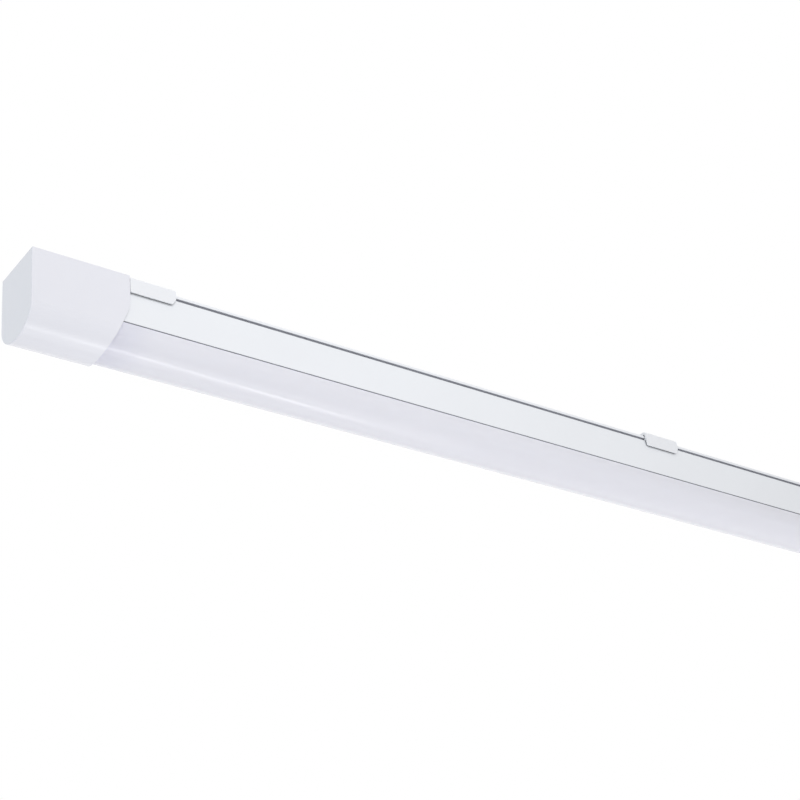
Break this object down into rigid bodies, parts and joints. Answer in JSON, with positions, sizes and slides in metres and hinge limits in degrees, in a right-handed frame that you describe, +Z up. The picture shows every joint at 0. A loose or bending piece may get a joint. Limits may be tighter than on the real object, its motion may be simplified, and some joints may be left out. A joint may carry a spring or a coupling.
{
  "type": "linear ceiling light",
  "caption": "Slim white surface-mounted linear light with a rounded opal cover, long end caps and clip brackets for the ceiling.",
  "frame": {"origin": "middle of the centre bracket's ceiling face", "axes": "+X along the light towards the right end, +Y across to the rear side, +Z up into the ceiling"},
  "size_m": [1.2, 0.0486, 0.0635],
  "materials": {
    "housing_coat": "satin white powder coat on an aluminium extrusion",
    "cover_opal": "satin opal plastic that lets light through",
    "cap_white": "satin white moulded plastic",
    "bracket_white": "satin white moulded plastic",
    "board_white": "white solder mask",
    "emitter": "yellow phosphor on white packages",
    "plug_white": "white nylon",
    "driver_shell": "light grey plastic",
    "circuit": "green circuit board",
    "winding": "yellow tape over a winding",
    "capacitor_sleeve": "black sleeve",
    "terminal_grey": "light grey plastic",
    "button_orange": "orange plastic",
    "contact_metal": "tinned spring strip",
    "zinc_steel": "bright zinc-plated steel",
    "grommet_rubber": "grey rubber",
    "wire_brown": "brown insulation",
    "wire_blue": "blue insulation",
    "wire_green": "green insulation of the earth wire",
    "wire_red": "red insulation",
    "wire_black": "black insulation",
    "wire_white": "white insulation",
    "saddle_nylon": "natural nylon"
  },
  "bodies": {
    "light_unit": {"housing_profile": "housing_coat", "diffuser_cover": "cover_opal", "led_board_left": "board_white", "led_board_right": "board_white", "led_packages_left": "emitter", "led_packages_right": "emitter", "board_plug_left": "plug_white", "board_plug_right": "plug_white", "driver_case": "driver_shell", "driver_lid": "driver_shell", "driver_board": "circuit", "driver_choke": "winding", "driver_transformer": "winding", "driver_capacitor": "capacitor_sleeve", "terminal_block": "terminal_grey", "terminal_contacts": "contact_metal", "driver_screws": "zinc_steel", "terminal_screw": "zinc_steel", "earth_screw": "zinc_steel", "earth_washer": "zinc_steel", "earth_lug": "contact_metal", "cable_grommet": "grommet_rubber", "blanking_grommet": "grommet_rubber", "wire_live": "wire_brown", "wire_neutral": "wire_blue", "wire_earth": "wire_green", "wire_led_positive": "wire_red", "wire_led_negative": "wire_black", "wire_board_link": "wire_white", "wire_saddles": "saddle_nylon"},
    "left_cap": {"end_cap_left": "cap_white"},
    "right_cap": {"end_cap_right": "cap_white"},
    "left_bracket": {"bracket_left": "bracket_white"},
    "left_front_arm": {"bracket_left_arm_front": "bracket_white"},
    "left_rear_arm": {"bracket_left_arm_rear": "bracket_white"},
    "centre_bracket": {"bracket_centre": "bracket_white"},
    "centre_front_arm": {"bracket_centre_arm_front": "bracket_white"},
    "centre_rear_arm": {"bracket_centre_arm_rear": "bracket_white"},
    "right_bracket": {"bracket_right": "bracket_white"},
    "right_front_arm": {"bracket_right_arm_front": "bracket_white"},
    "right_rear_arm": {"bracket_right_arm_rear": "bracket_white"},
    "live_button": {"release_button_live": "button_orange"},
    "neutral_button": {"release_button_neutral": "button_orange"},
    "earth_button": {"release_button_earth": "button_orange"}
  },
  "joints": [
    {"name": "left_cap_slide", "type": "slide", "parent": "light_unit", "child": "left_cap", "axis": [-1, 0, 0], "range_m": [0, 0.08]},
    {"name": "right_cap_slide", "type": "slide", "parent": "light_unit", "child": "right_cap", "axis": [1, 0, 0], "range_m": [0, 0.08]},
    {"name": "left_bracket_slide", "type": "slide", "parent": "light_unit", "child": "left_bracket", "axis": [1, 0, 0], "range_m": [0, 0.3]},
    {"name": "left_front_arm_flex", "type": "hinge", "parent": "left_bracket", "child": "left_front_arm", "pos_m": [-0.50475, -0.02285, -0.0014], "axis": [-1, 0, 0], "range_deg": [0, 14], "stiffness_Nm_per_rad": 0.5},
    {"name": "left_rear_arm_flex", "type": "hinge", "parent": "left_bracket", "child": "left_rear_arm", "pos_m": [-0.50475, 0.02285, -0.0014], "axis": [1, 0, 0], "range_deg": [0, 14], "stiffness_Nm_per_rad": 0.5},
    {"name": "centre_bracket_slide", "type": "slide", "parent": "light_unit", "child": "centre_bracket", "axis": [1, 0, 0], "range_m": [-0.15, 0.15]},
    {"name": "centre_front_arm_flex", "type": "hinge", "parent": "centre_bracket", "child": "centre_front_arm", "pos_m": [0, -0.02285, -0.0014], "axis": [-1, 0, 0], "range_deg": [0, 14], "stiffness_Nm_per_rad": 0.5},
    {"name": "centre_rear_arm_flex", "type": "hinge", "parent": "centre_bracket", "child": "centre_rear_arm", "pos_m": [0, 0.02285, -0.0014], "axis": [1, 0, 0], "range_deg": [0, 14], "stiffness_Nm_per_rad": 0.5},
    {"name": "right_bracket_slide", "type": "slide", "parent": "light_unit", "child": "right_bracket", "axis": [-1, 0, 0], "range_m": [0, 0.3]},
    {"name": "right_front_arm_flex", "type": "hinge", "parent": "right_bracket", "child": "right_front_arm", "pos_m": [0.50475, -0.02285, -0.0014], "axis": [-1, 0, 0], "range_deg": [0, 14], "stiffness_Nm_per_rad": 0.5},
    {"name": "right_rear_arm_flex", "type": "hinge", "parent": "right_bracket", "child": "right_rear_arm", "pos_m": [0.50475, 0.02285, -0.0014], "axis": [1, 0, 0], "range_deg": [0, 14], "stiffness_Nm_per_rad": 0.5},
    {"name": "live_button_press", "type": "slide", "parent": "light_unit", "child": "live_button", "axis": [1, 0, 0], "range_m": [0, 0.0015], "stiffness_N_per_m": 200},
    {"name": "neutral_button_press", "type": "slide", "parent": "light_unit", "child": "neutral_button", "axis": [1, 0, 0], "range_m": [0, 0.0015], "stiffness_N_per_m": 200},
    {"name": "earth_button_press", "type": "slide", "parent": "light_unit", "child": "earth_button", "axis": [1, 0, 0], "range_m": [0, 0.0015], "stiffness_N_per_m": 200}
  ]
}
